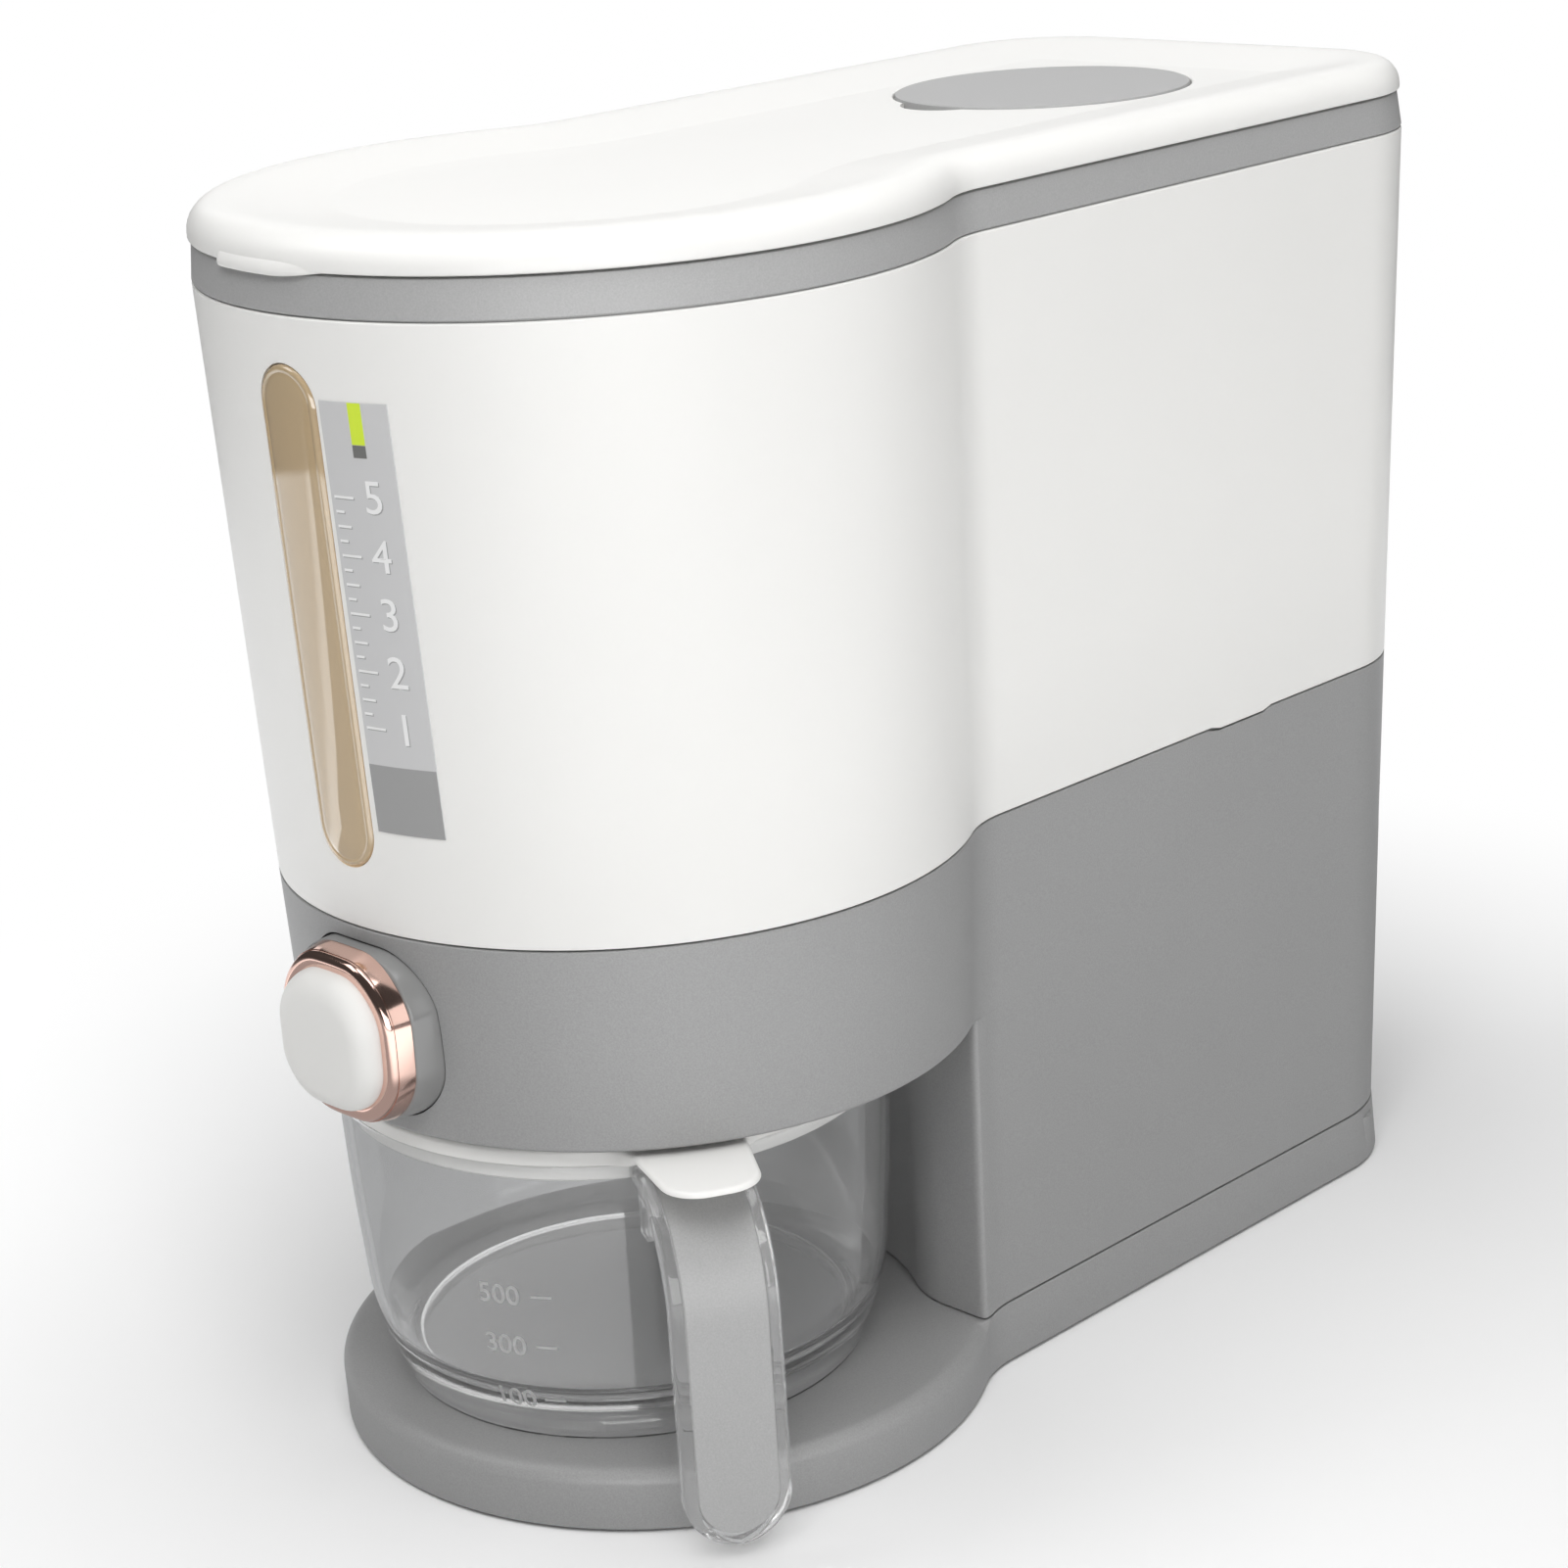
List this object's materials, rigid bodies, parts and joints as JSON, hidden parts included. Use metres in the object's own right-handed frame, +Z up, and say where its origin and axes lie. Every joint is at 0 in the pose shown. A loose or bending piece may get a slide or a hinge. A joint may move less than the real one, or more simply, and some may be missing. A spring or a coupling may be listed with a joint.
{
  "type": "rice dispenser",
  "caption": "Upright dry-food dispenser: white hopper with sight window and lid, grey column base, push button over a slide valve, and a clear handled measuring cup under the outlet.",
  "frame": {"origin": "on the plane that the rubber feet stand on, on the vertical axis of the round front", "axes": "+Z up; -Y is the front with the button and the cup; +X is to the right of someone who looks along +Y"},
  "size_m": [0.1743, 0.3299, 0.2982],
  "materials": {
    "body_white": "satin",
    "body_grey": "fine satin",
    "trim_grey": "satin",
    "gloss_grey": "polished",
    "rose_metal": "metallised, satin",
    "smoked_clear": "transparent, amber tint",
    "clear": "transparent",
    "inner_white": "as moulded",
    "label": "printed film",
    "feet": "matt",
    "seal": "silicone, matt",
    "steel": "zinc plated",
    "spring_steel": "drawn wire"
  },
  "bodies": {
    "dispenser": {"base_plate": "body_grey", "rubber_feet": "feet", "base_screws": "steel", "lower_shell": "body_grey", "hopper": "body_white", "hopper_screws": "steel", "window_lens": "smoked_clear", "level_scale": "label", "hopper_collar": "trim_grey", "button_housing": "gloss_grey", "button_bezel": "rose_metal", "outlet_chute": "inner_white", "chute_screws": "steel"},
    "button": {"button_pad": "body_white", "gate_slide": "inner_white", "slide_screw": "steel", "return_spring": "spring_steel"},
    "lid": {"lid": "body_white", "lid_seal": "seal"},
    "basket": {"absorber_basket": "inner_white"},
    "cap": {"absorber_cap": "trim_grey"},
    "cup": {"measuring_cup": "clear", "handle_inlay": "trim_grey", "cup_lid": "body_white"}
  },
  "joints": [
    {"name": "button_press", "type": "slide", "parent": "dispenser", "child": "button", "axis": [0, 1, 0], "range_m": [0, 0.008], "stiffness_N_per_m": 450, "springref_m": -0.004, "deforming": ["return_spring"]},
    {"name": "lid_lift", "type": "slide", "parent": "dispenser", "child": "lid", "axis": [0, 0, 1], "range_m": [0, 0.1]},
    {"name": "basket_lift", "type": "slide", "parent": "lid", "child": "basket", "axis": [0, 0, 1], "range_m": [0, 0.05]},
    {"name": "cap_lift", "type": "slide", "parent": "basket", "child": "cap", "axis": [0, 0, 1], "range_m": [0, 0.04]},
    {"name": "cup_pull", "type": "slide", "parent": "dispenser", "child": "cup", "axis": [0, -1, 0], "range_m": [0, 0.19]}
  ]
}
